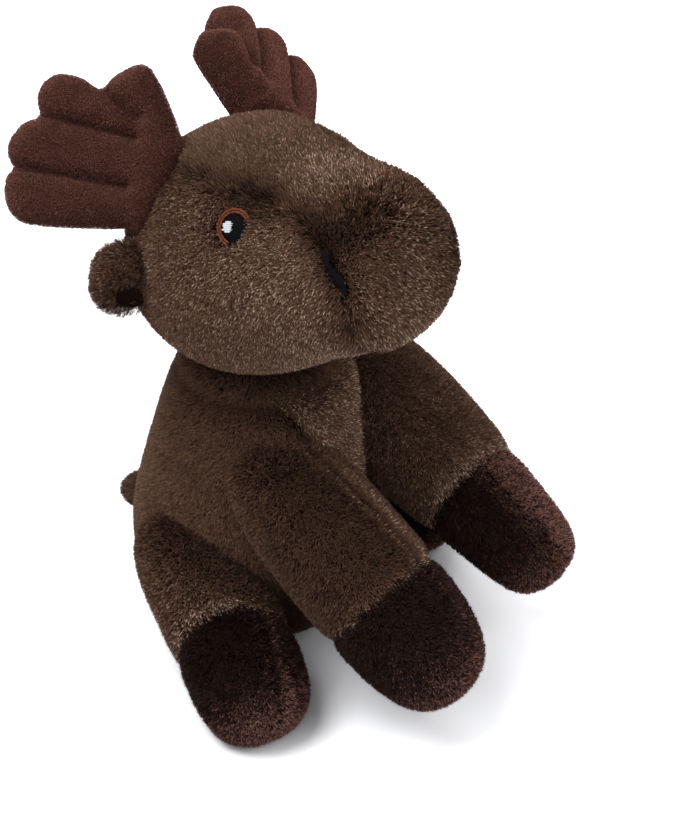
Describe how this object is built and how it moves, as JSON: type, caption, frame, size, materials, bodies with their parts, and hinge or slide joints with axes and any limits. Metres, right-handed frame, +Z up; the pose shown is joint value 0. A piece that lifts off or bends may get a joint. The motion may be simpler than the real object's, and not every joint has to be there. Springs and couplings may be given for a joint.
{
  "type": "plush moose",
  "caption": "Seated plush moose whose head turns and nods on a stuffed neck, with swinging legs, palmate velour antlers, flap ears, a small tail and embroidered eyes and nostrils.",
  "frame": {"origin": "middle of the toy's bounding box in plan, on the surface it sits on", "axes": "+Z up; the chest and the front legs face -Y; the toy's left side is +X"},
  "size_m": [0.093, 0.101, 0.1278],
  "materials": {
    "plush": "matte",
    "hoof_plush": "matte",
    "velour": "matte",
    "stuffing": "matte",
    "pellet_cloth": "matte",
    "rust_thread": "satin",
    "black_thread": "satin",
    "white_thread": "satin",
    "lining": "matte"
  },
  "bodies": {
    "torso": {"torso_skin": "plush", "torso_stuffing": "stuffing", "pellet_bag": "pellet_cloth"},
    "neck": {"neck_plug": "plush"},
    "head": {"head_skin": "plush", "head_stuffing": "stuffing", "eye_ring_right": "rust_thread", "eye_pupil_right": "black_thread", "eye_highlight_right": "white_thread", "nostril_right": "black_thread", "eye_ring_left": "rust_thread", "eye_pupil_left": "black_thread", "eye_highlight_left": "white_thread", "nostril_left": "black_thread"},
    "front_leg_right": {"front_leg_right_skin": "plush", "front_leg_right_stuffing": "stuffing", "front_hoof_right": "hoof_plush"},
    "hind_leg_right": {"hind_leg_right_skin": "plush", "hind_leg_right_stuffing": "stuffing", "hind_hoof_right": "hoof_plush"},
    "antler_right": {"antler_right_skin": "velour", "antler_right_stuffing": "stuffing"},
    "ear_right": {"ear_right": "plush", "ear_right_lining": "lining"},
    "front_leg_left": {"front_leg_left_skin": "plush", "front_leg_left_stuffing": "stuffing", "front_hoof_left": "hoof_plush"},
    "hind_leg_left": {"hind_leg_left_skin": "plush", "hind_leg_left_stuffing": "stuffing", "hind_hoof_left": "hoof_plush"},
    "antler_left": {"antler_left_skin": "velour", "antler_left_stuffing": "stuffing"},
    "ear_left": {"ear_left": "plush", "ear_left_lining": "lining"},
    "tail": {"tail": "plush"}
  },
  "joints": [
    {"name": "head_turn", "type": "hinge", "parent": "torso", "child": "neck", "pos_m": [0, 0.00864, 0.062], "axis": [0, 0, 1], "range_deg": [-20, 60], "stiffness_Nm_per_rad": 0.05},
    {"name": "head_nod", "type": "hinge", "parent": "neck", "child": "head", "pos_m": [0, 0.00864, 0.062], "axis": [-0.9272, 0.3746, 0], "range_deg": [-8, 12], "stiffness_Nm_per_rad": 0.1},
    {"name": "front_leg_right_swing", "type": "hinge", "parent": "torso", "child": "front_leg_right", "pos_m": [-0.0155, 0.01064, 0.046], "axis": [-1, 0, 0], "range_deg": [-8, 16], "stiffness_Nm_per_rad": 0.03},
    {"name": "front_leg_left_swing", "type": "hinge", "parent": "torso", "child": "front_leg_left", "pos_m": [0.0155, 0.01064, 0.046], "axis": [-1, 0, 0], "range_deg": [-8, 16], "stiffness_Nm_per_rad": 0.03},
    {"name": "hind_leg_right_swing", "type": "hinge", "parent": "torso", "child": "hind_leg_right", "pos_m": [-0.016, 0.01264, 0.025], "axis": [-1, 0, 0], "range_deg": [-8, 15], "stiffness_Nm_per_rad": 0.03},
    {"name": "hind_leg_left_swing", "type": "hinge", "parent": "torso", "child": "hind_leg_left", "pos_m": [0.016, 0.01264, 0.025], "axis": [-1, 0, 0], "range_deg": [-8, 15], "stiffness_Nm_per_rad": 0.03},
    {"name": "antler_right_fold", "type": "hinge", "parent": "head", "child": "antler_right", "pos_m": [-0.00926, 0.02363, 0.1108], "axis": [0.6728, -0.1248, 0.7292], "range_deg": [-15, 15], "stiffness_Nm_per_rad": 0.003},
    {"name": "antler_left_fold", "type": "hinge", "parent": "head", "child": "antler_left", "pos_m": [0.01707, 0.01299, 0.1108], "axis": [0.5707, -0.3776, -0.7292], "range_deg": [-15, 15], "stiffness_Nm_per_rad": 0.003},
    {"name": "ear_right_fold", "type": "hinge", "parent": "head", "child": "ear_right", "pos_m": [-0.02066, 0.02302, 0.09294], "axis": [-0.3143, -0.0107, -0.9493], "range_deg": [-15, 15], "stiffness_Nm_per_rad": 0.00005},
    {"name": "ear_left_fold", "type": "hinge", "parent": "head", "child": "ear_left", "pos_m": [0.02485, 0.00463, 0.09294], "axis": [-0.2186, 0.226, 0.9493], "range_deg": [-15, 15], "stiffness_Nm_per_rad": 0.00005},
    {"name": "tail_flick", "type": "hinge", "parent": "torso", "child": "tail", "pos_m": [0, 0.0389, 0.0215], "axis": [1, 0, 0], "range_deg": [-15, 15], "stiffness_Nm_per_rad": 0.00002}
  ]
}
